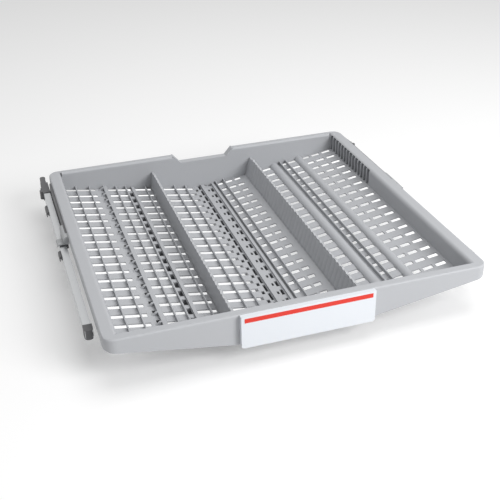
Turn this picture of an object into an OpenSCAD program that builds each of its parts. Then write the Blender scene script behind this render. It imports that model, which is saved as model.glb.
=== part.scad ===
// Cutlery drawer for the top of a dishwasher: one moulded tray with a slotted, V-shaped floor,
// a clipped-on handle plate with a coloured strip, and a lipped steel rail on each side.
// X runs across the drawer, Y from the front to the back and Z upwards. The origin lies under
// the middle of the whole drawer, at the level of the keel that it stands on.

/* [Tray] */
// Width over the rim
tray_w = 520; // [480:1:560]
// Depth from the front face to the back of the rim
tray_d = 503.5; // [460:0.5:560]
// Depth of the floor below the rim at the side walls
side_depth = 28.5; // [24:0.5:36]
// Slope of the floor towards the middle, in degrees
floor_slope = 8.9; // [6:0.1:11]
// Half width of the level trough along the middle
trough_half = 19; // [18:0.5:24]
// Thickness of the walls
wall_t = 2.2; // [1.6:0.1:3]
// Thickness of the floor
floor_t = 1.8; // [1.4:0.1:2.6]
// Thickness of the rim plate
rim_t = 2.2; // [1.6:0.1:3]
// Distance from the outer edge of the rim to the side walls
rim_side = 20; // [17:0.5:26]
// Distance from the outer edge of the rim to the back wall
rim_back = 12; // [10:0.5:18]
// Distance from the front face to the inner front wall, at the rim
rim_front = 12; // [10:0.5:18]
// Radius of the tray's outer corners
corner_r = 16; // [10:0.5:20]
// Rounding of the rim's outer edge
edge_r = 2.5; // [1.5:0.1:3.5]
// Rounding where the rim turns down into the side walls
side_fillet = 6; // [3:0.5:8]
// Rounding where the rim turns down into the back wall
back_fillet = 4; // [2:0.5:6]
// How far the foot of the inner front wall lies behind its top
ramp_run = 31; // [24:1:36]

/* [Skirt and front face] */
// Depth of the skirt that hangs from the sides and the back of the rim
skirt_h = 12; // [8:0.5:18]
// Thickness of the skirt and the front face
skirt_t = 2.4; // [1.8:0.1:3]
// Height of the front face at its ends
face_end_h = 18; // [15:0.5:24]
// Height of the front face behind the handle
face_mid_h = 44; // [38:0.5:50]
// Width of the level stretch at the bottom of the front face
face_level_w = 190; // [186:1:230]
// Height of the finger opening in the front face
finger_h = 30; // [20:0.5:34]
// Width of the finger opening in the front face
finger_w = 164; // [120:1:170]

/* [Back notch] */
// Width of the notch in the back rim, at the top
notch_top_w = 104; // [60:1:140]
// Width of the notch at its bottom
notch_bottom_w = 81; // [40:1:110]
// Depth of the notch
notch_depth = 13; // [6:0.5:18]
// Sideways place of the notch
notch_x = 3; // [-20:0.5:20]

/* [Floor slots] */
// Distance from one row of slots to the next
row_pitch = 23.14; // [20:0.01:28]
// Length of a slot from front to back
slot_len = 8.5; // [6:0.1:11]
// Distance from the back wall to the middle of the last row
last_row = 5.2; // [4.8:0.1:9]
// Gap that the first row keeps from the foot of the front wall
first_row_gap = 22; // [16:1:30]
// Margin of solid floor beside each side wall
floor_margin = 2.8; // [1:0.1:6]
// Thickness of the raised long ribs
rib_t = 1.6; // [1.2:0.1:2.4]
// Height of the raised long ribs above the floor
rib_h = 5; // [3:0.5:8]
// Height of the rounded bands in the right compartment
band_h = 4.5; // [3:0.1:6]
// Height of the ridge that carries the curved fins
ridge_h = 5.5; // [4:0.1:8]
// Depth of the blind pockets below the floor
pocket_depth = 8; // [5:0.5:10]
// Thickness of the bottom of the pockets
pocket_floor = 1.1; // [0.8:0.1:2]

/* [Dividers] */
// Distance of each divider's crest from the middle
divider_x = 88; // [84:0.5:96]
// Depth of the crests below the rim
divider_drop = 22; // [16:0.5:24]
// Thickness of the crest
crest_t = 3.2; // [2.4:0.1:5]
// Spread of the divider's foot towards the side compartment
foot_out = 5; // [3:0.5:8]
// Spread of the divider's foot towards the middle compartment
foot_in = 10; // [6:0.5:12]
// Distance from the front face to the divider's front end
divider_front = 39; // [36:0.5:60]
// Height of the teeth along the crest
tooth_h = 2.2; // [1:0.1:3]
// How far the upright ribs stand out of the divider's inner face
face_rib = 1.1; // [0.6:0.1:1.6]

/* [Side fins] */
// Number of curved fins at the back of each side wall
fin_n = 14; // [6:1:18]
// Thickness of a fin
fin_t = 2.6; // [1.6:0.1:4]
// Depth of the recesses between the fins
fin_depth = 6; // [3:0.5:7]

/* [Handle] */
// Width of the handle plate
handle_w = 182; // [170:1:186]
// Height of the handle plate
handle_h = 46.5; // [40:0.5:52]
// How far the handle stands out of the front face
handle_proud = 7; // [5:0.5:12]
// Wall of the handle
handle_t = 2.2; // [1.6:0.1:2.8]
// Radius of the handle's lower corners
handle_r = 4; // [1:0.5:8]
// Width of the coloured strip
strip_w = 173.4; // [120:0.2:176]
// Height of the coloured strip
strip_h = 6.3; // [3:0.1:10]
// Distance of the strip below the top of the handle
strip_drop = 2.5; // [2:0.1:20]
// Thickness of the strip
strip_t = 1; // [0.8:0.1:1.4]
// How far the strip stands proud of the handle
strip_proud = 0.3; // [0.1:0.05:0.4]

/* [Rails] */
// Width of the rail
rail_w = 9.8; // [9:0.1:12]
// Sheet thickness of the rail
rail_t = 1.2; // [1:0.1:1.4]
// Height of the lips that hold the rollers in the rail
rail_lip = 2; // [1.4:0.1:2.4]
// Depth of the rail's top below the rim
rail_drop = 17; // [14:0.5:18]
// Distance from the front face to the front of the rail
rail_front = 54; // [34:0.5:70]
// How far the rear stop reaches behind the tray
rail_over = 20.5; // [10:0.5:40]
// Gap between the rail and the runner plate
rail_gap = 1.2; // [0.8:0.1:2]

/* [Rail ends and hangers] */
// Length of the front cap
cap_len = 14; // [12:0.5:30]
// How far the end pieces stand out round the rail
end_wall = 1; // [0.6:0.1:1.6]
// Length of the rear stop
stop_len = 62; // [56:0.5:80]
// Length of the stop's tail behind the rail
tail_len = 25; // [16:0.5:30]
// Radius of the stop's rounded lobes
lobe_r = 4.4; // [3:0.1:5]
// Clearance between an end plug and the inside of the rail
plug_gap = 0.1; // [0.05:0.05:0.3]
// How far the hangers stand out of the rail
hanger_w = 4; // [3:0.1:6]
// Height of a hanger
hanger_h = 8; // [6:0.5:10]
// Length of the front hanger
hanger_front_len = 17; // [12:0.5:40]
// Length of the rear hanger
hanger_rear_len = 25; // [16:0.5:50]
// Distance from the front face to the middle of the front hanger
hanger_front_y = 264; // [200:1:300]
// Distance from the front face to the middle of the rear hanger
hanger_rear_y = 412; // [340:1:430]

/* [Runners] */
// Thickness of the runner plate on the skirt
runner_t = 3; // [2.4:0.1:4]
// Distance from the front face to the front of the runner plate
runner_front = 290; // [280:1:300]
// Length of the runner plate
runner_len = 176; // [160:1:180]
// Depth of the runner plate's top below the rim
runner_drop = 3.5; // [3:0.1:6]
// Radius of a roller
roller_r = 4.5; // [4:0.1:6]
// Width of a roller
roller_w = 4.8; // [3:0.1:5]
// Running clearance of a roller above and below
roller_gap = 0.3; // [0.2:0.05:0.5]
// Radius of a roller pin
pin_r = 1.5; // [1:0.1:2]
// Running clearance between a roller and its pin
pin_gap = 0.08; // [0.02:0.01:0.1]
// Distance of each roller from the end of the runner plate
roller_inset = 10; // [8:0.5:14]
// Clearance between the glide block and an end cap that passes under it
slide_gap = 0.4; // [0.2:0.1:0.6]
// Length of the glide block
glide_len = 39; // [20:0.5:50]
// How far the glide block stands out of the runner plate
glide_w = 4.8; // [3:0.1:6]
// How far the glide block reaches in front of the runner plate
glide_lead = 12; // [4:0.5:16]
// Width of the arm that reaches from the glide block over the rail
arm_w = 17; // [8:0.5:24]
// Thickness of the arm
arm_t = 1.6; // [1.2:0.1:2.4]

/* [Hidden] */
$fn = 48;

far = 700;
sink = 0.8;
slope = tan(floor_slope);
half_w = tray_w / 2;
foot_x = half_w - rim_side;
trough_depth = side_depth + slope * (foot_x - trough_half);
rim_z = trough_depth + pocket_depth + pocket_floor;
back_y = tray_d - rim_back;
mid_y = (tray_d + rail_over - handle_proud - strip_proud) / 2;

// Height of the floor at a distance x from the middle
function floor_z(x) = rim_z - trough_depth + slope * max(abs(x) - trough_half, 0);

// Front wall: it leans back from the rim to the foot of the trough
ramp_lean = ramp_run / trough_depth;
function ramp_y(z) = rim_front + (rim_z - z) * ramp_lean;

// Rows of slots, counted from the back
rows_end = back_y - last_row;
row_n = floor((rows_end - ramp_y(floor_z(0)) - first_row_gap) / row_pitch) + 1;
rows = [for (i = [0 : row_n - 1]) rows_end - i * row_pitch];

// Places across the tray. Those near a divider keep their distance from it, those near a
// side wall keep their distance from that wall, and the others from the middle.
side_slot = foot_x - floor_margin;
ridge_x = -(foot_x - 68.5);
ridge_w = 6;
fin_reach = 13.5;
channel_x = -(divider_x + 43);
channel_w = 6;
inner_x = divider_x - foot_in;
strip_x = inner_x - 10.5;
spine_w = 6;

// Each stretch of floor that has slots, as its two ends
slot_zones = [
    [-side_slot, ridge_x - ridge_w / 2 - fin_reach],
    [ridge_x + ridge_w / 2 + 0.5, channel_x - channel_w / 2 - 1.5],
    [channel_x + channel_w / 2 + 6, -(divider_x + foot_out + 1)],
    [-inner_x + 1, -trough_half],
    [24.5, 35],
    [40, 52.5],
    [56.5, strip_x],
    [divider_x + foot_out + 1, divider_x + 36.5],
    [divider_x + 57, divider_x + 83.5],
    [foot_x - 54, foot_x - 42],
    [foot_x - 38, foot_x - 23],
    [foot_x - 18.5, side_slot]
];

// Raised long ribs
rib_places = [
    -(foot_x - 20.5), -(foot_x - 42.5),
    -(divider_x + 65), -(divider_x + 48.8), -(divider_x + 15),
    -52, -32.5, 23, 37,
    divider_x + 55, divider_x + 66
];

// Rounded bands: place and width
bands = [[divider_x + 45, 16], [divider_x + 91, 14]];

// Blind pockets: place, width, length, and how far each lies behind the middle of its row
pockets = [
    [ridge_x - ridge_w / 2 - 3.2, 5, 8, 5],
    [channel_x, channel_w, 15, 2],
    [-14.8, 4.4, 8, -9],
    [-8, 3.6, 18, 1],
    [5, 3, 7, 7],
    [11.2, 4.4, 14, 7]
];

// Rail, runner and rollers. Places here are measured outwards from the edge of the rim.
rail_in = runner_t + rail_gap;
rail_out = rail_in + rail_w;
rail_h = 2 * (roller_r + roller_gap + rail_t);
rail_z = rim_z - rail_drop - rail_h / 2;
stop_back = tray_d + rail_over;
rail_back = stop_back - tail_len;
roller_mid = (rail_in + rail_t + rail_out - rail_t) / 2;
runner_back = runner_front + runner_len;
roller_front_y = runner_front + roller_inset;
roller_rear_y = runner_back - roller_inset;
runner_h = rail_drop + rail_h - runner_drop;

// The arm of the glide block reaches past the end caps
arm_reach = rail_out + end_wall + slide_gap + arm_t - runner_t - glide_w;

// Puts the parts of the left side where they belong. The right side is its mirror image.
module on_side(side) {
    if (side < 0) translate([-half_w, -mid_y, 0]) children();
    else mirror([1, 0, 0]) translate([-half_w, -mid_y, 0]) children();
}

// Puts what is drawn from the tray's front face at its place
module in_frame() {
    translate([0, -mid_y, 0]) children();
}

// A profile drawn with X across and Y up becomes a bar that runs from y0 to y1
module along_y(y0, y1) {
    translate([0, y1, 0]) rotate([90, 0, 0]) linear_extrude(y1 - y0) children();
}

// A profile drawn with X towards the back and Y up becomes a bar that runs from x0 to x1
module along_x(x0, x1) {
    translate([x0, 0, 0]) rotate([90, 0, 90]) linear_extrude(x1 - x0) children();
}

module box_between(a, b) {
    translate(a) cube(b - a);
}

// Cross-section of the basin, from the lowest level up to the top
module basin_profile(half, drop, top) {
    polygon([
        [-half, top], [-half, floor_z(half) - drop], [-trough_half, floor_z(0) - drop],
        [trough_half, floor_z(0) - drop], [half, floor_z(half) - drop], [half, top]
    ]);
}

// Side view of the basin: the front wall leans, the back wall is upright
module basin_side(out, drop, top) {
    lean = ramp_lean * (top - rim_z);
    polygon([
        [rim_front - lean - out, top], [back_y + out, top], [back_y + out, -drop],
        [ramp_y(-drop) - out, -drop]
    ]);
}

module basin(half, out, drop, top) {
    intersection() {
        along_y(0, tray_d) basin_profile(half, drop, top);
        along_x(-half, half) basin_side(out, pocket_depth, top);
    }
}

// A rounded rectangle in plan, as wide as the rim less an inset
module rim_plan(inset) {
    r = corner_r - inset;
    w = half_w - inset;
    union() {
        translate([-w, inset + r]) square([2 * w, tray_d - 2 * inset - 2 * r]);
        translate([-w + r, inset]) square([2 * w - 2 * r, tray_d - 2 * inset]);
        for (x = [-w + r, w - r], y = [inset + r, tray_d - inset - r]) translate([x, y]) circle(r);
    }
}

module skirt(depth) {
    translate([0, 0, rim_z - depth]) linear_extrude(depth - edge_r) difference() {
        rim_plan(0);
        rim_plan(skirt_t);
    }
}

// The front face is the deep part of the skirt: it tapers to its ends and runs round the corners
module front_face() {
    intersection() {
        skirt(face_mid_h);
        along_y(-1, corner_r * 2) polygon([
            [-half_w - 1, rim_z], [half_w + 1, rim_z],
            [half_w + 1, rim_z - face_end_h], [half_w - corner_r / 2, rim_z - face_end_h - 1],
            [face_level_w / 2, rim_z - face_mid_h], [-face_level_w / 2, rim_z - face_mid_h],
            [-half_w + corner_r / 2, rim_z - face_end_h - 1], [-half_w - 1, rim_z - face_end_h]
        ]);
        along_x(-half_w - 1, half_w + 1) polygon([
            [-1, rim_z], [-1, 0], [skirt_t + 1, 0], [skirt_t + 1, rim_z - face_end_h],
            [corner_r * 2, rim_z - skirt_h], [corner_r * 2, rim_z]
        ]);
    }
}

// Rounded outer edge that runs round the rim
module rim_edge() {
    turn_r = corner_r - edge_r;
    x = half_w - corner_r;
    translate([0, 0, rim_z - edge_r]) {
        for (s = [-1, 1]) translate([s * (half_w - edge_r), corner_r, 0])
            rotate([-90, 0, 0]) cylinder(r = edge_r, h = tray_d - 2 * corner_r);
        for (y = [edge_r, tray_d - edge_r]) translate([-x, y, 0])
            rotate([0, 90, 0]) cylinder(r = edge_r, h = 2 * x);
        for (c = [[x, tray_d - corner_r, 0], [-x, tray_d - corner_r, 90],
                  [-x, corner_r, 180], [x, corner_r, 270]])
            translate([c[0], c[1], 0]) rotate([0, 0, c[2]])
                rotate_extrude(angle = 90) translate([turn_r, 0]) circle(edge_r);
    }
}

// The flat top of the rim, with a thicker edge where it turns down into the basin
module rim_top() {
    difference() {
        union() {
            translate([0, 0, rim_z - rim_t]) linear_extrude(rim_t) rim_plan(edge_r);
            for (s = [-1, 1]) box_between(
                [s < 0 ? -foot_x - side_fillet : foot_x - 1, rim_front, rim_z - side_fillet],
                [s < 0 ? -foot_x + 1 : foot_x + side_fillet, back_y, rim_z]);
            box_between([-foot_x, back_y - 1, rim_z - back_fillet],
                        [foot_x, back_y + back_fillet, rim_z]);
        }
        box_between([-foot_x, rim_front, 0], [foot_x, back_y, rim_z + 1]);
    }
}

// What a rounding of radius r takes away from an outer edge at the origin
module round_off(r) {
    difference() {
        translate([-1, -r]) square([r + 1, r + 1]);
        translate([r, -r]) circle(r);
    }
}

module rim_roundings() {
    for (s = [0, 1]) mirror([s, 0, 0])
        along_y(rim_front, back_y + back_fillet) translate([foot_x, rim_z]) round_off(side_fillet);
    along_x(-foot_x, foot_x) translate([back_y, rim_z]) round_off(back_fillet);
}

module notch_outline(grow) {
    bottom = notch_bottom_w / 2 + grow;
    top = notch_top_w / 2 + grow;
    polygon([[-top, 1], [-top, 0], [-bottom, -notch_depth - grow], [bottom, -notch_depth - grow],
             [top, 0], [top, 1]]);
}

// Closes the hollow back rim along the notch
module notch_lining() {
    intersection() {
        along_y(back_y, tray_d) translate([notch_x, rim_z]) difference() {
            notch_outline(wall_t);
            notch_outline(0);
        }
        box_between([-half_w, 0, 0], [half_w, tray_d, rim_z]);
    }
    box_between([notch_x - notch_bottom_w / 2 - wall_t, tray_d - skirt_t, rim_z - notch_depth - wall_t - 4],
                [notch_x + notch_bottom_w / 2 + wall_t, tray_d, rim_z - notch_depth - wall_t + 0.5]);
}

// Divider: a wedge with teeth along its crest and upright ribs on its inner face
module divider() {
    crest_z = rim_z - divider_drop;
    along_y(divider_front, back_y + wall_t / 2) polygon([
        [divider_x + foot_out, floor_z(divider_x + foot_out) - sink],
        [divider_x + crest_t / 2, crest_z], [divider_x - crest_t / 2, crest_z],
        [divider_x - foot_in, floor_z(divider_x - foot_in) - sink]
    ]);
    crest_teeth(crest_z);
    divider_ribs(crest_z);
}

module crest_teeth(crest_z) {
    pitch = row_pitch / 2;
    first = divider_front + 1;
    n = floor((back_y - first - 1) / pitch);
    along_x(divider_x - crest_t / 2, divider_x + crest_t / 2) polygon(concat(
        [[first, crest_z - sink]],
        [for (i = [0 : n - 1]) each [
            [first + i * pitch, crest_z + 0.3],
            [first + (i + 0.35) * pitch, crest_z + tooth_h],
            [first + (i + 0.65) * pitch, crest_z + tooth_h],
            [first + (i + 1) * pitch, crest_z + 0.3]
        ]],
        [[first + n * pitch, crest_z - sink]]
    ));
}

module divider_ribs(crest_z) {
    pitch = row_pitch / 2;
    base_t = 1;
    drop = crest_z - floor_z(divider_x - foot_in);
    run = foot_in - crest_t / 2;
    face_len = sqrt(drop * drop + run * run) - 3;
    first = divider_front + 1;
    n = floor((back_y - first - 1) / pitch);
    translate([divider_x - crest_t / 2, 0, crest_z]) rotate([0, atan2(run, drop), 0])
        translate([0, 0, -face_len]) linear_extrude(face_len) polygon(concat(
            [[base_t, first]],
            [for (i = [0 : n - 1]) each [
                [0.05, first + i * pitch], [-face_rib, first + (i + 0.3) * pitch],
                [-face_rib, first + (i + 0.7) * pitch], [0.05, first + (i + 1) * pitch]
            ]],
            [[base_t, first + n * pitch]]
        ));
}

module raised_ribs() {
    for (x = rib_places) {
        z = floor_z(x);
        box_between([x - rib_t / 2, ramp_y(z) - 1.2, z - sink], [x + rib_t / 2, back_y + sink, z + rib_h]);
    }
}

// A smooth hump between two rows of slots
module band(x, w) {
    base = floor_z(x);
    r = (w * w / 4 + band_h * band_h) / (2 * band_h);
    along_y(ramp_y(base) - 1.2, back_y + sink) intersection() {
        translate([x, base + band_h - r]) circle(r);
        translate([x - w / 2, base - sink - slope * w / 4]) square([w, band_h + 3]);
    }
}

// Ridge in the left compartment, with one curved fin at each row
module fin_ridge() {
    z = floor_z(ridge_x);
    edge = ridge_x - ridge_w / 2;
    box_between([edge, ramp_y(z) - 1.2, z - sink], [edge + ridge_w, back_y + sink, z + ridge_h]);
    for (y = rows) along_y(y - 3, y - 0.4) difference() {
        translate([edge - fin_reach, z - sink]) square([fin_reach + 1, ridge_h + sink]);
        translate([edge - fin_reach, z + ridge_h + 10]) circle(10 + ridge_h - 1.2, $fn = 64);
    }
}

// Low spines on both sides of the trough
module spines() {
    z = floor_z(0);
    for (s = [[-2, spine_w, 3.5], [17, 4, 3]])
        box_between([s[0] - s[1] / 2, ramp_y(z) - 1.2, z - sink], [s[0] + s[1] / 2, back_y + sink, z + s[2]]);
    zs = floor_z(channel_x + channel_w / 2 + 3.5);
    box_between([channel_x + channel_w / 2 + 1, ramp_y(zs) - 1.2, zs - sink],
                [channel_x + channel_w / 2 + 6, back_y + sink, zs + 3]);
}

// Solid strips under the floor that hold the blind pockets
module keels() {
    for (p = [pockets[0], pockets[1]]) {
        z = floor_z(p[0]);
        box_between([p[0] - p[1] / 2 - 1, ramp_y(z), z - pocket_depth - pocket_floor],
                    [p[0] + p[1] / 2 + 1, back_y, z - sink]);
    }
    box_between([-trough_half, ramp_y(0) - 3, 0], [trough_half, back_y, floor_z(0) - sink]);
}

module pocket_cuts() {
    for (p = pockets) for (y = rows) {
        z = floor_z(p[0]) - pocket_depth;
        top = min(y + p[3] + p[2] / 2, back_y);
        box_between([p[0] - p[1] / 2, y + p[3] - p[2] / 2, z], [p[0] + p[1] / 2, top, z + pocket_depth + 3]);
    }
}

module slot_cuts() {
    for (zone = slot_zones) for (y = rows) {
        low = min(floor_z(zone[0]), floor_z(zone[1]));
        high = max(floor_z(zone[0]), floor_z(zone[1]));
        box_between([zone[0], y - slot_len / 2, low - 2 * floor_t], [zone[1], y + slot_len / 2, high + 1]);
    }
}

// Thicker wall behind the fins at the back of each side wall
module fin_backing() {
    y0 = back_y - fin_n * row_pitch / 2 - fin_t;
    for (s = [0, 1]) mirror([s, 0, 0])
        box_between([foot_x + sink, y0, floor_z(foot_x) - floor_t],
                    [foot_x + fin_depth + wall_t, back_y + wall_t, rim_z - rim_t / 2]);
}

module fin_cuts() {
    pitch = row_pitch / 2;
    for (s = [0, 1]) mirror([s, 0, 0]) for (i = [0 : fin_n - 1])
        box_between([foot_x - 1, back_y - (i + 1) * pitch, floor_z(foot_x)],
                    [foot_x + fin_depth, back_y - i * pitch - fin_t, rim_z - 1.6]);
}

module tray() color([0.62, 0.63, 0.65]) in_frame() {
    difference() {
        union() {
            difference() {
                union() {
                    basin(foot_x + wall_t, wall_t, floor_t, rim_z);
                    keels();
                }
                basin(foot_x, 0, 0, rim_z + 5);
                slot_cuts();
                pocket_cuts();
            }
            skirt(skirt_h);
            front_face();
            rim_edge();
            rim_top();
            fin_backing();
            divider();
            mirror([1, 0, 0]) divider();
            raised_ribs();
            for (b = bands) band(b[0], b[1]);
            fin_ridge();
            spines();
        }
        rim_roundings();
        fin_cuts();
        along_y(back_y - 6, tray_d + 1) translate([notch_x, rim_z]) notch_outline(0);
        box_between([-finger_w / 2, -1, rim_z - face_mid_h - 1],
                    [finger_w / 2, skirt_t + 1, rim_z - face_mid_h + finger_h]);
    }
    notch_lining();
}

// Handle: an open box, fixed to the front face round the finger opening
module handle_outline(inset) {
    w = handle_w / 2 - inset;
    h = handle_h - inset;
    r = max(handle_r - inset, 0.5);
    union() {
        translate([-w, -h + r]) square([2 * w, h - r - inset]);
        translate([-w + r, -h]) square([2 * w - 2 * r, h - inset]);
        for (x = [-w + r, w - r]) translate([x, -h + r]) circle(r);
    }
}

module handle() color([0.86, 0.88, 0.9]) in_frame() {
    difference() {
        along_y(-handle_proud, 0) translate([0, rim_z]) handle_outline(0);
        along_y(-handle_proud + handle_t, 1) translate([0, rim_z]) union() {
            handle_outline(handle_t);
            translate([-handle_w / 2 + handle_t + handle_r, -handle_h - 1])
                square([handle_w - 2 * handle_t - 2 * handle_r, handle_h / 2]);
        }
        strip_body();
    }
}

module strip_body() {
    y = -handle_proud - strip_proud;
    z = rim_z - strip_drop;
    box_between([-strip_w / 2, y, z - strip_h], [strip_w / 2, y + strip_t, z]);
}

module accent_strip() color([0.82, 0.2, 0.17]) in_frame() strip_body();

// Lipped channel, open towards the tray. Drawn outwards from the edge of the rim.
module rail_profile() {
    difference() {
        translate([-rail_out, -rail_h / 2]) square([rail_w, rail_h]);
        translate([-rail_out + rail_t, -rail_h / 2 + rail_t])
            square([rail_w - 2 * rail_t, rail_h - 2 * rail_t]);
        translate([-rail_in - 2 * rail_t, -rail_h / 2 + rail_t + rail_lip])
            square([3 * rail_t, rail_h - 2 * rail_t - 2 * rail_lip]);
    }
}

module rail(side) color([0.72, 0.73, 0.74]) on_side(side)
    along_y(rail_front + end_wall, rail_back) translate([0, rail_z]) rail_profile();

// The end pieces fit round the rail's end and have a plug inside it
module plug(y0, y1) {
    half = rail_h / 2 - rail_t - plug_gap;
    along_y(y0, y1) translate([-rail_out + rail_t + plug_gap, rail_z - half])
        square([rail_w - 2 * rail_t - 2 * plug_gap, 2 * half]);
}

module rail_sleeve_space(y0, y1) {
    box_between([-rail_out, y0, rail_z - rail_h / 2], [-rail_in, y1, rail_z + rail_h / 2]);
}

module end_cap(side) color([0.4, 0.4, 0.41]) on_side(side) {
    r = rail_w / 2;
    mid = -rail_out + r;
    back = rail_front + cap_len;
    difference() {
        translate([0, 0, rail_z - rail_h / 2 - end_wall]) linear_extrude(rail_h + 2 * end_wall) union() {
            translate([-rail_out - end_wall, rail_front + r]) square([rail_w + 2 * end_wall, cap_len - r]);
            translate([mid, rail_front + r]) circle(r + end_wall);
        }
        rail_sleeve_space(rail_front + end_wall, back + 1);
    }
    plug(rail_front + end_wall, back);
}

// Rear stop: a sleeve with a lobe on its outer side and a rounded tail behind the rail
module rear_stop(side) color([0.4, 0.4, 0.41]) on_side(side) {
    front = stop_back - stop_len;
    mid = -(rail_in + rail_out) / 2;
    tail_w = 2 * lobe_r - 1.4;
    lobe_y = front + 2 * lobe_r;
    difference() {
        translate([0, 0, rail_z - rail_h / 2 - end_wall]) linear_extrude(rail_h + 2 * end_wall) union() {
            translate([-rail_out - end_wall, front])
                square([rail_w + 2 * end_wall, stop_len - tail_len + end_wall]);
            translate([-rail_out - end_wall, lobe_y]) circle(lobe_r);
            translate([-rail_out - end_wall, lobe_y + 2 * lobe_r]) circle(lobe_r / 2);
            translate([mid - tail_w / 2, rail_back]) square([tail_w, tail_len - lobe_r]);
            translate([mid, stop_back - lobe_r]) circle(lobe_r);
        }
        rail_sleeve_space(front - 1, rail_back);
    }
    plug(front + 6, rail_back);
}

// Hooked hanger on the rail's web
module hanger(side, y, len) color([0.36, 0.36, 0.37]) on_side(side) {
    top = rail_h / 2 - hanger_w;
    along_y(y - len / 2, y + len / 2) translate([-rail_out, rail_z + top]) polygon([
        [0, 0], [-hanger_w / 2, 0], [-hanger_w, -hanger_w / 2], [-hanger_w, -hanger_h],
        [-hanger_w + 1.4, -hanger_h], [-hanger_w + 1.4, -hanger_w], [-1.4, -hanger_w],
        [-1.4, -hanger_h + 1.5], [0, -hanger_h + 1.5]
    ]);
}

// Runner plate: it lies on the skirt and carries the roller pins
module runner(side) color([0.3, 0.3, 0.31]) on_side(side) difference() {
    box_between([-runner_t, runner_front, rim_z - runner_drop - runner_h],
                [0, runner_back, rim_z - runner_drop]);
    for (y = [roller_front_y, roller_rear_y]) translate([-runner_t - 1, y, rail_z])
        rotate([0, 90, 0]) cylinder(r = pin_r, h = runner_t + 2);
}

// Glide block: it lies on the runner plate and reaches round its front end to the skirt
module glide(side) color([0.66, 0.67, 0.68]) on_side(side) {
    top = rim_z - runner_drop;
    low = rim_z - rail_drop + end_wall + slide_gap;
    front = runner_front - glide_lead;
    along_y(front, front + glide_len) translate([-runner_t, low]) union() {
        translate([-glide_w, 0]) square([glide_w, top - low - glide_w]);
        translate([0, top - low - glide_w]) intersection() {
            circle(glide_w);
            translate([-glide_w, 0]) square([glide_w, glide_w]);
        }
    }
    box_between([-runner_t, front, low], [0, runner_front, top]);
    along_y(front, front + arm_w) translate([-runner_t - glide_w, low]) polygon([
        [0.5, 0], [0.5, arm_t], [-arm_reach + arm_t, arm_t], [-arm_reach, 0],
        [-arm_reach, -arm_t - slide_gap], [-arm_reach + arm_t, -arm_t - slide_gap],
        [-arm_reach + arm_t, 0]
    ]);
}

module roller(side, y) color([0.85, 0.85, 0.84]) on_side(side)
    translate([-roller_mid - roller_w / 2, y, rail_z]) rotate([0, 90, 0]) difference() {
        cylinder(r = roller_r, h = roller_w);
        translate([0, 0, -1]) cylinder(r = pin_r + pin_gap, h = roller_w + 2);
    }

// Roller pin with a head outside the roller and a collar between the plate and the roller
module pin(side, y) color([0.7, 0.7, 0.72]) on_side(side) translate([0, y, rail_z]) rotate([0, -90, 0]) {
    cylinder(r = pin_r, h = roller_mid + roller_w / 2 + 0.3);
    translate([0, 0, runner_t]) cylinder(r = pin_r + 0.9, h = roller_mid - roller_w / 2 - 0.2 - runner_t);
    translate([0, 0, roller_mid + roller_w / 2 + 0.2]) cylinder(r = pin_r + 0.9, h = 0.8);
}

tray();
handle();
accent_strip();
rail(-1);  // rail_left
rail(1);  // rail_right
end_cap(-1);  // end_cap_left
end_cap(1);  // end_cap_right
rear_stop(-1);  // rear_stop_left
rear_stop(1);  // rear_stop_right
hanger(-1, hanger_front_y, hanger_front_len);  // hanger_left_front
hanger(-1, hanger_rear_y, hanger_rear_len);  // hanger_left_rear
hanger(1, hanger_front_y, hanger_front_len);  // hanger_right_front
hanger(1, hanger_rear_y, hanger_rear_len);  // hanger_right_rear
runner(-1);  // runner_left
runner(1);  // runner_right
glide(-1);  // glide_left
glide(1);  // glide_right
roller(-1, roller_front_y);  // roller_left_front
roller(-1, roller_rear_y);  // roller_left_rear
roller(1, roller_front_y);  // roller_right_front
roller(1, roller_rear_y);  // roller_right_rear
pin(-1, roller_front_y);  // pin_left_front
pin(-1, roller_rear_y);  // pin_left_rear
pin(1, roller_front_y);  // pin_right_front
pin(1, roller_rear_y);  // pin_right_rear
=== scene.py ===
"""Looks of a cutlery drawer: moulded grey tray, pale handle with a red strip, steel rails."""
import math

import bpy
from mathutils import Matrix, Vector


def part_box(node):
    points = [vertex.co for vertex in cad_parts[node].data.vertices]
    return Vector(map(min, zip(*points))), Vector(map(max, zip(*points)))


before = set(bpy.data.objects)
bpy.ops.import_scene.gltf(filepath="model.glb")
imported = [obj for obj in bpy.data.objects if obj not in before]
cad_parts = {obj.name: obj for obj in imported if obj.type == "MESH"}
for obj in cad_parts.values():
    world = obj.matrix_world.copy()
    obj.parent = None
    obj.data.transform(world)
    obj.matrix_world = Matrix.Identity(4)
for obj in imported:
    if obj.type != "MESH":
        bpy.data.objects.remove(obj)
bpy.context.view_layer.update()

# Rim of the tray, from the frame, in metres
TRAY_LOW, TRAY_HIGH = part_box("tray")
RIM_LEFT = TRAY_LOW[0]
RIM_RIGHT = TRAY_HIGH[0]
RIM_FRONT = TRAY_LOW[1]
RIM_BACK = TRAY_HIGH[1]
RIM_TOP = TRAY_HIGH[2]

# Camera, measured from the rim's front left corner
EYE_LEFT = 0.0922
EYE_FRONT = 0.8424
EYE_ABOVE = 0.6035
LOOK_ROUND = math.radians(18.15)
LOOK_DOWN = math.radians(30.1)
LOOK_ROLL = math.radians(-0.92)
LENS = 62.54
SENSOR = 36.0

# Finishes, as linear colours
TRAY_GREY = (0.46, 0.47, 0.49)
HANDLE_GREY = (0.74, 0.77, 0.81)
STRIP_RED = (0.72, 0.035, 0.02)
STEEL_GREY = (0.52, 0.53, 0.54)
DARK_GREY_AND_PAINTED_SHADE = (0.12, 0.12, 0.125)
GLIDE_GREY = (0.42, 0.43, 0.44)
ROLLER_WHITE = (0.72, 0.72, 0.70)


def add_node(tree, kind, place, **settings):
    """Adds a node at a place in the tree, with its settings."""
    node = tree.nodes.new(kind)
    node.location = place
    for name, value in settings.items():
        setattr(node, name, value)
    return node


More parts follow.
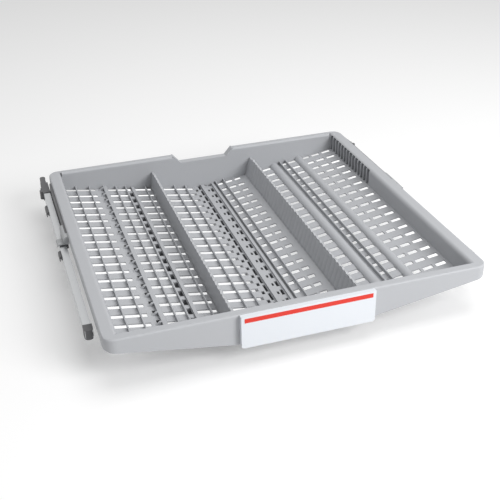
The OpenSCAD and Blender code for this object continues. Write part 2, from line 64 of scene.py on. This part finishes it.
def new_group(name, inputs, outputs):
    """Starts a shader node group. Inputs and outputs are (name, socket type, default)."""
    group = bpy.data.node_groups.new(name, "ShaderNodeTree")
    for side, sockets in (("INPUT", inputs), ("OUTPUT", outputs)):
        for label, kind, default in sockets:
            socket = group.interface.new_socket(name=label, in_out=side, socket_type=kind)
            if default is not None:
                socket.default_value = default
    start = add_node(group, "NodeGroupInput", (-900, 0))
    end = add_node(group, "NodeGroupOutput", (500, 0))
    return group, start, end


def make_moulded_grain():
    """Fine grain of moulded plastic: a height for a Bump node and a slightly uneven roughness."""
    group, start, end = new_group(
        "Moulded grain",
        [("Grain size", "NodeSocketFloat", 0.0012), ("Roughness", "NodeSocketFloat", 0.5),
         ("Unevenness", "NodeSocketFloat", 0.06)],
        [("Height", "NodeSocketFloat", None), ("Roughness", "NodeSocketFloat", None)])
    place = add_node(group, "ShaderNodeTexCoord", (-900, 300))
    per_metre = add_node(group, "ShaderNodeMath", (-700, 100), operation="DIVIDE")
    per_metre.inputs[0].default_value = 1.0
    grain = add_node(group, "ShaderNodeTexNoise", (-500, 200))
    patches = add_node(group, "ShaderNodeTexNoise", (-500, -100))
    patches.inputs["Scale"].default_value = 35.0
    spread = add_node(group, "ShaderNodeMapRange", (-250, -100))
    low = add_node(group, "ShaderNodeMath", (-500, -350), operation="SUBTRACT")
    high = add_node(group, "ShaderNodeMath", (-500, -520), operation="ADD")
    link = group.links.new
    link(start.outputs["Grain size"], per_metre.inputs[1])
    link(place.outputs["Object"], grain.inputs["Vector"])
    link(place.outputs["Object"], patches.inputs["Vector"])
    link(per_metre.outputs[0], grain.inputs["Scale"])
    for node in (low, high):
        link(start.outputs["Roughness"], node.inputs[0])
        link(start.outputs["Unevenness"], node.inputs[1])
    link(patches.outputs["Fac"], spread.inputs["Value"])
    link(low.outputs[0], spread.inputs["To Min"])
    link(high.outputs[0], spread.inputs["To Max"])
    link(grain.outputs["Fac"], end.inputs["Height"])
    link(spread.outputs["Result"], end.inputs["Roughness"])
    return group


def make_painted_crevice_shade():
    """Painted shade: darkens a colour where the surface lies deep between its neighbours, in place
    of the shade that falls there.
    """
    group, start, end = new_group(
        "Painted crevice shade",
        [("Color", "NodeSocketColor", (0.5, 0.5, 0.5, 1.0)), ("Reach", "NodeSocketFloat", 0.01),
         ("Depth", "NodeSocketFloat", 0.6), ("Open above", "NodeSocketFloat", 0.55)],
        [("Color", "NodeSocketColor", None)])
    openness = add_node(group, "ShaderNodeAmbientOcclusion", (-650, 100), samples=8, only_local=True)
    shade = add_node(group, "ShaderNodeMapRange", (-400, 100))
    full = add_node(group, "ShaderNodeMath", (-650, -150), operation="SUBTRACT")
    full.inputs[0].default_value = 1.0
    darken = add_node(group, "ShaderNodeMix", (-100, 0), data_type="RGBA", blend_type="MULTIPLY")
    darken.inputs["Factor"].default_value = 1.0
    link = group.links.new
    link(start.outputs["Reach"], openness.inputs["Distance"])
    link(start.outputs["Depth"], full.inputs[1])
    link(openness.outputs["AO"], shade.inputs["Value"])
    link(start.outputs["Open above"], shade.inputs["From Max"])
    link(full.outputs[0], shade.inputs["To Min"])
    link(start.outputs["Color"], darken.inputs["A"])
    link(shade.outputs["Result"], darken.inputs["B"])
    link(darken.outputs["Result"], end.inputs["Color"])
    return group


def new_material(name):
    material = bpy.data.materials.new(name)
    material.use_nodes = True
    tree = material.node_tree
    tree.nodes.clear()
    output = add_node(tree, "ShaderNodeOutputMaterial", (700, 0))
    shader = add_node(tree, "ShaderNodeBsdfPrincipled", (350, 0))
    tree.links.new(shader.outputs["BSDF"], output.inputs["Surface"])
    return material, tree, shader


def place_group(tree, group, place, **values):
    node = add_node(tree, "ShaderNodeGroup", place, node_tree=group)
    for name, value in values.items():
        node.inputs[name.replace("_", " ")].default_value = value
    return node


def make_plastic(name, color, roughness, grain_size, relief, painted_crevice_shade=None):
    """Moulded plastic, with its grain and, where asked, painted shade darkening its crevices."""
    material, tree, shader = new_material(name)
    grain = place_group(tree, GRAIN, (-300, -200), Grain_size=grain_size, Roughness=roughness)
    bump = add_node(tree, "ShaderNodeBump", (0, -300))
    bump.inputs["Strength"].default_value = 0.35
    bump.inputs["Distance"].default_value = relief
    shader.inputs["Base Color"].default_value = (*color, 1.0)
    shader.inputs["Specular IOR Level"].default_value = 0.4
    link = tree.links.new
    link(grain.outputs["Height"], bump.inputs["Height"])
    link(grain.outputs["Roughness"], shader.inputs["Roughness"])
    link(bump.outputs["Normal"], shader.inputs["Normal"])
    # Painted shade: where asked, the base colour is darkened in crevices and pockets.
    if painted_crevice_shade:
        shade = place_group(tree, PAINTED_CREVICE_SHADE, (-300, 200), Reach=painted_crevice_shade[0], Depth=painted_crevice_shade[1])
        shade.inputs["Color"].default_value = (*color, 1.0)
        link(shade.outputs["Color"], shader.inputs["Base Color"])
    return material


def make_rail_steel():
    """Rolled stainless steel, with fine lines along the rail."""
    material, tree, shader = new_material("Rail steel")
    place = add_node(tree, "ShaderNodeTexCoord", (-900, 0))
    stretch = add_node(tree, "ShaderNodeMapping", (-700, 0))
    stretch.inputs["Scale"].default_value = (900.0, 6.0, 900.0)
    lines = add_node(tree, "ShaderNodeTexNoise", (-500, 0))
    lines.inputs["Scale"].default_value = 1.0
    rough = add_node(tree, "ShaderNodeMapRange", (-250, 0))
    rough.inputs["To Min"].default_value = 0.26
    rough.inputs["To Max"].default_value = 0.42
    shader.inputs["Base Color"].default_value = (*STEEL_GREY, 1.0)
    shader.inputs["Metallic"].default_value = 1.0
    link = tree.links.new
    link(place.outputs["Object"], stretch.inputs["Vector"])
    link(stretch.outputs["Vector"], lines.inputs["Vector"])
    link(lines.outputs["Fac"], rough.inputs["Value"])
    link(rough.outputs["Result"], shader.inputs["Roughness"])
    return material


def dress(material, *names):
    """Gives the CAD nodes of these names a material."""
    for name in names:
        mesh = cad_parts[name].data
        mesh.materials.clear()
        mesh.materials.append(material)


def nodes_starting(*starts):
    return [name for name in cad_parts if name.startswith(starts)]


GRAIN = make_moulded_grain()
PAINTED_CREVICE_SHADE = make_painted_crevice_shade()

# The tray gets painted shade in its crevices, pockets and cells.
dress(make_plastic("Tray plastic", TRAY_GREY, 0.5, 0.0011, 0.00008, painted_crevice_shade=(0.012, 0.75)), "tray")
dress(make_plastic("Handle plastic", HANDLE_GREY, 0.42, 0.0016, 0.00004), "handle")
dress(make_plastic("Red strip", STRIP_RED, 0.38, 0.002, 0.00002), "accent_strip")
# End caps, rear stops and hangers are dark grey plastic. The runner plates get the same dark grey,
# which partly paints the deep shade in the gap beside the tray.
dress(make_plastic("Dark plastic and painted shade", DARK_GREY_AND_PAINTED_SHADE, 0.5, 0.001, 0.00005),
      *nodes_starting("end_cap", "rear_stop", "hanger", "runner"))
dress(make_plastic("Glide plastic", GLIDE_GREY, 0.45, 0.001, 0.00004), *nodes_starting("glide"))
dress(make_plastic("Roller plastic", ROLLER_WHITE, 0.4, 0.001, 0.00003), *nodes_starting("roller"))
dress(make_rail_steel(), *nodes_starting("rail", "pin"))


def aim_from(eye, target):
    """Matrix of an object at eye whose -Z axis points at target."""
    turn = (Vector(target) - Vector(eye)).to_track_quat("-Z", "Y").to_matrix().to_4x4()
    return Matrix.Translation(eye) @ turn


def add_soft_light(name, eye, target, width, height, power):
    data = bpy.data.lights.new(name, "AREA")
    data.shape = "RECTANGLE"
    data.size = width
    data.size_y = height
    data.energy = power
    light = bpy.data.objects.new(name, data)
    light.matrix_world = aim_from(eye, target)
    bpy.context.collection.objects.link(light)
    return light


def seen_directly(tree, place):
    """Value of 1 where the camera sees a surface directly, in a reflection or through glass."""
    path = add_node(tree, "ShaderNodeLightPath", place)
    first = add_node(tree, "ShaderNodeMath", (place[0] + 200, place[1]), operation="MAXIMUM")
    second = add_node(tree, "ShaderNodeMath", (place[0] + 400, place[1]), operation="MAXIMUM")
    tree.links.new(path.outputs["Is Camera Ray"], first.inputs[0])
    tree.links.new(path.outputs["Is Glossy Ray"], first.inputs[1])
    tree.links.new(first.outputs[0], second.inputs[0])
    tree.links.new(path.outputs["Is Transmission Ray"], second.inputs[1])
    return second.outputs[0]


def make_world():
    """Even pale light all round. The camera sees it as white."""
    world = bpy.data.worlds.new("Studio")
    world.use_nodes = True
    tree = world.node_tree
    background = tree.nodes["Background"]
    background.inputs["Color"].default_value = (1.0, 1.0, 1.0, 1.0)
    strength = add_node(tree, "ShaderNodeMapRange", (-200, 0))
    strength.inputs["To Min"].default_value = WORLD_LIGHT
    strength.inputs["To Max"].default_value = 1.0
    tree.links.new(seen_directly(tree, (-900, 0)), strength.inputs["Value"])
    tree.links.new(strength.outputs["Result"], background.inputs["Strength"])
    bpy.context.scene.world = world


def make_floor():
    """White floor that keeps the shadow. Under the tray it has painted light: emission seen only by
    the camera, brighter at the left than at the right, which shows white through the slots of the
    tray.
    """
    bpy.ops.mesh.primitive_plane_add(size=FLOOR_SIZE, location=(0.0, 0.0, 0.0))
    floor = bpy.context.object
    floor.name = "Floor"
    material, tree, shader = new_material("Floor")
    shader.inputs["Base Color"].default_value = (0.82, 0.82, 0.82, 1.0)
    shader.inputs["Roughness"].default_value = 0.9
    shader.inputs["Specular IOR Level"].default_value = 0.0
    place = add_node(tree, "ShaderNodeTexCoord", (-1500, 300))
    split = add_node(tree, "ShaderNodeSeparateXYZ", (-1300, 300))
    tree.links.new(place.outputs["Object"], split.inputs["Vector"])
    painted_light_edge_masks = []
    for row, (axis, low, high, soft) in enumerate(PAINTED_LIGHT_EDGES):
        for start, end in ((low, low + soft), (high, high - soft)):
            edge = add_node(tree, "ShaderNodeMapRange", (-1100, 400 - 180 * len(painted_light_edge_masks)))
            edge.inputs["From Min"].default_value = start
            edge.inputs["From Max"].default_value = end
            tree.links.new(split.outputs[axis], edge.inputs["Value"])
            painted_light_edge_masks.append(edge.outputs["Result"])
    # Painted light: this mask marks the stretch of floor under the tray that is brightened.
    painted_light_mask = painted_light_edge_masks[0]
    for step, mask in enumerate(painted_light_edge_masks[1:]):
        both = add_node(tree, "ShaderNodeMath", (-800 + 160 * step, 300), operation="MULTIPLY")
        tree.links.new(painted_light_mask, both.inputs[0])
        tree.links.new(mask, both.inputs[1])
        painted_light_mask = both.outputs[0]
    # The painted light under the tray is graded from brighter at the left to dimmer at the right.
    painted_light_across = add_node(tree, "ShaderNodeMapRange", (-1100, -400))
    painted_light_across.inputs["From Min"].default_value = RIM_LEFT
    painted_light_across.inputs["From Max"].default_value = RIM_RIGHT
    painted_light_across.inputs["To Min"].default_value = PAINTED_LIGHT_LEFT
    painted_light_across.inputs["To Max"].default_value = PAINTED_LIGHT_RIGHT
    tree.links.new(split.outputs["X"], painted_light_across.inputs["Value"])
    emission_with_painted_light = add_node(tree, "ShaderNodeMapRange", (-200, 300))
    emission_with_painted_light.inputs["To Min"].default_value = FLOOR_GLOW
    tree.links.new(painted_light_mask, emission_with_painted_light.inputs["Value"])
    tree.links.new(painted_light_across.outputs["Result"], emission_with_painted_light.inputs["To Max"])
    seen = add_node(tree, "ShaderNodeMath", (0, 300), operation="MULTIPLY")
    tree.links.new(emission_with_painted_light.outputs["Result"], seen.inputs[0])
    tree.links.new(seen_directly(tree, (-700, -300)), seen.inputs[1])
    shader.inputs["Emission Color"].default_value = (1.0, 1.0, 1.0, 1.0)
    tree.links.new(seen.outputs[0], shader.inputs["Emission Strength"])
    floor.data.materials.append(material)
    return floor


def make_camera():
    data = bpy.data.cameras.new("Camera")
    data.lens = LENS
    data.sensor_width = SENSOR
    camera = bpy.data.objects.new("Camera", data)
    eye = Vector((RIM_LEFT - EYE_LEFT, RIM_FRONT - EYE_FRONT, RIM_TOP + EYE_ABOVE))
    turn = (Matrix.Rotation(-LOOK_ROUND, 4, "Z") @ Matrix.Rotation(math.pi / 2 - LOOK_DOWN, 4, "X")
            @ Matrix.Rotation(LOOK_ROLL, 4, "Z"))
    camera.matrix_world = Matrix.Translation(eye) @ turn
    bpy.context.collection.objects.link(camera)
    bpy.context.scene.camera = camera


# Stage. The painted light edges are (axis, low, high, softness) of the painted light under the tray:
# a bright stretch of floor emission seen only by the camera.
WORLD_LIGHT = 0.42
FLOOR_SIZE = 9.0
# The floor's even emission is FLOOR_GLOW; the left and right values are painted light under the
# tray.
FLOOR_GLOW = 0.22
PAINTED_LIGHT_LEFT = 0.85
PAINTED_LIGHT_RIGHT = 0.5
PAINTED_LIGHT_EDGES = (
    ("X", RIM_LEFT + 0.012, RIM_RIGHT + 0.03, 0.02),
    ("Y", RIM_FRONT + 0.065, RIM_BACK + 0.05, 0.02),
)

make_world()
make_floor()
add_soft_light("Front right light", (0.95, -1.45, 1.05), (0.0, 0.0, 0.03), 0.9, 0.9, 26.0)
add_soft_light("Top light", (0.25, 0.1, 1.9), (0.0, 0.0, 0.0), 1.4, 1.4, 12.0)
make_camera()

bpy.context.scene.view_settings.view_transform = "Standard"
